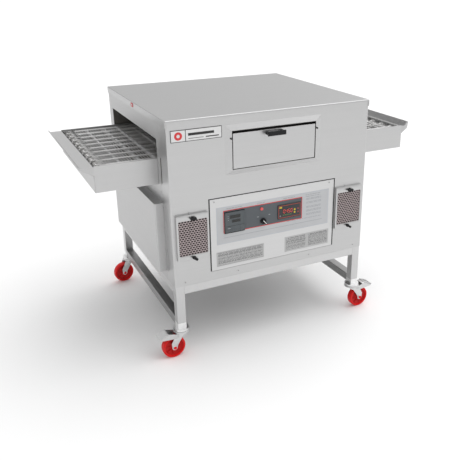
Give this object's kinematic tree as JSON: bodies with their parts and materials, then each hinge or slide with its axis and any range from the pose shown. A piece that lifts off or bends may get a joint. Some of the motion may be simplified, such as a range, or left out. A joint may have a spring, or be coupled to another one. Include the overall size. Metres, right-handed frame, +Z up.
{
  "type": "conveyor pizza oven",
  "caption": "Free-standing stainless conveyor pizza oven: belt tunnel through a square cabinet, front access door, control panel, air grilles and a braked caster stand.",
  "frame": {"origin": "on the floor, under the centre of the whole oven's box", "axes": "+X along the belt from the loading lip on the left to the unloading lip on the right, +Y from the front panel to the back, +Z up"},
  "size_m": [1.684, 0.952, 1.098],
  "materials": {
    "brushed_stainless": "satin",
    "chamber_stainless": "satin",
    "galvanised": "matte",
    "mineral_wool": "matte",
    "heater_sheath": "matte",
    "black_plastic": "satin",
    "panel_film": "satin",
    "controller_plastic": "satin",
    "timer_plastic": "gloss",
    "lamp_lens": "gloss",
    "printed_plate": "satin",
    "belt_wire": "satin",
    "zinc_plate": "satin",
    "red_polyurethane": "satin",
    "gasket_rope": "matte",
    "screw_steel": "gloss"
  },
  "bodies": {
    "cabinet": {"back_panel": "brushed_stainless", "base_pan": "galvanised", "bearing_blocks": "galvanised", "belt": "belt_wire", "belt_support": "belt_wire", "belt_timer": "timer_plastic", "caster_mounts": "zinc_plate", "chamber_liner": "chamber_stainless", "control_overlay": "panel_film", "control_panel": "brushed_stainless", "conveyor_side_back": "brushed_stainless", "conveyor_side_front": "brushed_stainless", "cover_screws": "screw_steel", "door_throat": "chamber_stainless", "drive_housing": "brushed_stainless", "electrical_tray": "galvanised", "end_lips": "brushed_stainless", "fan_housings": "black_plastic", "front_panel": "brushed_stainless", "gearmotor": "galvanised", "grille_left": "brushed_stainless", "grille_right": "brushed_stainless", "heating_elements": "heater_sheath", "insulation": "mineral_wool", "left_panel": "brushed_stainless", "mains_gland": "black_plastic", "pilot_lamp": "lamp_lens", "plates": "printed_plate", "right_panel": "brushed_stainless", "selector_body": "black_plastic", "service_cover": "brushed_stainless", "stand_legs": "brushed_stainless", "stand_rails": "brushed_stainless", "temperature_controller": "controller_plastic", "top_cover": "brushed_stainless"},
    "access_door": {"door_pan": "brushed_stainless", "door_liner": "chamber_stainless", "door_gasket": "gasket_rope", "door_handle": "black_plastic"},
    "selector": {"selector_knob": "black_plastic"},
    "latch_left_lower": {"latch_left_lower": "black_plastic"},
    "latch_left_upper": {"latch_left_upper": "black_plastic"},
    "latch_right_lower": {"latch_right_lower": "black_plastic"},
    "latch_right_upper": {"latch_right_upper": "black_plastic"},
    "fan_rotor_left": {"fan_rotor_left": "black_plastic"},
    "crumb_tray_left": {"crumb_tray_left": "brushed_stainless"},
    "fan_rotor_right": {"fan_rotor_right": "black_plastic"},
    "crumb_tray_right": {"crumb_tray_right": "brushed_stainless"},
    "drive_shaft": {"drive_shaft": "belt_wire"},
    "idler_shaft": {"idler_shaft": "belt_wire"},
    "caster_fork_front_left": {"caster_fork_front_left": "zinc_plate"},
    "caster_wheel_front_left": {"caster_wheel_front_left": "red_polyurethane"},
    "brake_pedal_front_left": {"brake_pedal_front_left": "zinc_plate"},
    "caster_fork_front_right": {"caster_fork_front_right": "zinc_plate"},
    "caster_wheel_front_right": {"caster_wheel_front_right": "red_polyurethane"},
    "brake_pedal_front_right": {"brake_pedal_front_right": "zinc_plate"},
    "caster_fork_back_left": {"caster_fork_back_left": "zinc_plate"},
    "caster_wheel_back_left": {"caster_wheel_back_left": "red_polyurethane"},
    "caster_fork_back_right": {"caster_fork_back_right": "zinc_plate"},
    "caster_wheel_back_right": {"caster_wheel_back_right": "red_polyurethane"}
  },
  "joints": [
    {"name": "door_hinge", "type": "hinge", "parent": "cabinet", "child": "access_door", "pos_m": [-0.0195, -0.439, 0.867], "axis": [1, 0, 0], "range_deg": [0, 90]},
    {"name": "selector_turn", "type": "hinge", "parent": "cabinet", "child": "selector", "pos_m": [-0.076, -0.446, 0.594], "axis": [0, 1, 0], "range_deg": [0, 60]},
    {"name": "latch_left_lower_turn", "type": "hinge", "parent": "cabinet", "child": "latch_left_lower", "pos_m": [-0.4185, -0.439, 0.489], "axis": [0, 1, 0], "range_deg": [0, 90]},
    {"name": "latch_left_upper_turn", "type": "hinge", "parent": "cabinet", "child": "latch_left_upper", "pos_m": [-0.4185, -0.439, 0.675], "axis": [0, 1, 0], "range_deg": [0, 90]},
    {"name": "fan_left_spin", "type": "hinge", "parent": "cabinet", "child": "fan_rotor_left", "pos_m": [-0.4185, -0.412, 0.577], "axis": [0, 1, 0], "continuous": true},
    {"name": "latch_right_lower_turn", "type": "hinge", "parent": "cabinet", "child": "latch_right_lower", "pos_m": [0.385, -0.439, 0.489], "axis": [0, 1, 0], "range_deg": [0, 90]},
    {"name": "latch_right_upper_turn", "type": "hinge", "parent": "cabinet", "child": "latch_right_upper", "pos_m": [0.385, -0.439, 0.675], "axis": [0, 1, 0], "range_deg": [0, 90]},
    {"name": "fan_right_spin", "type": "hinge", "parent": "cabinet", "child": "fan_rotor_right", "pos_m": [0.385, -0.412, 0.577], "axis": [0, 1, 0], "continuous": true},
    {"name": "drive_shaft_spin", "type": "hinge", "parent": "cabinet", "child": "drive_shaft", "pos_m": [-0.75, 0.057, 0.883], "axis": [0, 1, 0], "continuous": true},
    {"name": "idler_shaft_spin", "type": "hinge", "parent": "cabinet", "child": "idler_shaft", "pos_m": [0.77, 0.057, 0.883], "axis": [0, 1, 0], "continuous": true},
    {"name": "crumb_tray_left_slide", "type": "slide", "parent": "cabinet", "child": "crumb_tray_left", "axis": [-1, 0, 0], "range_m": [0, 0.24]},
    {"name": "crumb_tray_right_slide", "type": "slide", "parent": "cabinet", "child": "crumb_tray_right", "axis": [1, 0, 0], "range_m": [0, 0.24]},
    {"name": "caster_front_left_swivel", "type": "hinge", "parent": "cabinet", "child": "caster_fork_front_left", "pos_m": [-0.486, -0.414, 0.132], "axis": [0, 0, 1], "continuous": true},
    {"name": "caster_front_left_roll", "type": "hinge", "parent": "caster_fork_front_left", "child": "caster_wheel_front_left", "pos_m": [-0.52797, -0.41547, 0.054], "axis": [0.0349, -0.9994, 0], "continuous": true},
    {"name": "brake_front_left_press", "type": "hinge", "parent": "caster_fork_front_left", "child": "brake_pedal_front_left", "pos_m": [-0.51198, -0.41491, 0.113], "axis": [0.0349, -0.9994, 0], "range_deg": [0, 12]},
    {"name": "caster_front_right_swivel", "type": "hinge", "parent": "cabinet", "child": "caster_fork_front_right", "pos_m": [0.454, -0.414, 0.132], "axis": [0, 0, 1], "continuous": true},
    {"name": "caster_front_right_roll", "type": "hinge", "parent": "caster_fork_front_right", "child": "caster_wheel_front_right", "pos_m": [0.49597, -0.41253, 0.054], "axis": [-0.0349, 0.9994, 0], "continuous": true},
    {"name": "brake_front_right_press", "type": "hinge", "parent": "caster_fork_front_right", "child": "brake_pedal_front_right", "pos_m": [0.47998, -0.41309, 0.113], "axis": [-0.0349, 0.9994, 0], "range_deg": [0, 12]},
    {"name": "caster_back_left_swivel", "type": "hinge", "parent": "cabinet", "child": "caster_fork_back_left", "pos_m": [-0.486, 0.436, 0.132], "axis": [0, 0, 1], "continuous": true},
    {"name": "caster_back_left_roll", "type": "hinge", "parent": "caster_fork_back_left", "child": "caster_wheel_back_left", "pos_m": [-0.52769, 0.43088, 0.054], "axis": [0.1219, -0.9925, 0], "continuous": true},
    {"name": "caster_back_right_swivel", "type": "hinge", "parent": "cabinet", "child": "caster_fork_back_right", "pos_m": [0.454, 0.436, 0.132], "axis": [0, 0, 1], "continuous": true},
    {"name": "caster_back_right_roll", "type": "hinge", "parent": "caster_fork_back_right", "child": "caster_wheel_back_right", "pos_m": [0.49559, 0.43015, 0.054], "axis": [0.1392, 0.9903, 0], "continuous": true}
  ],
  "couplings": [
    {"joint": "idler_shaft_spin", "follows": "drive_shaft_spin", "ratio": 1}
  ]
}
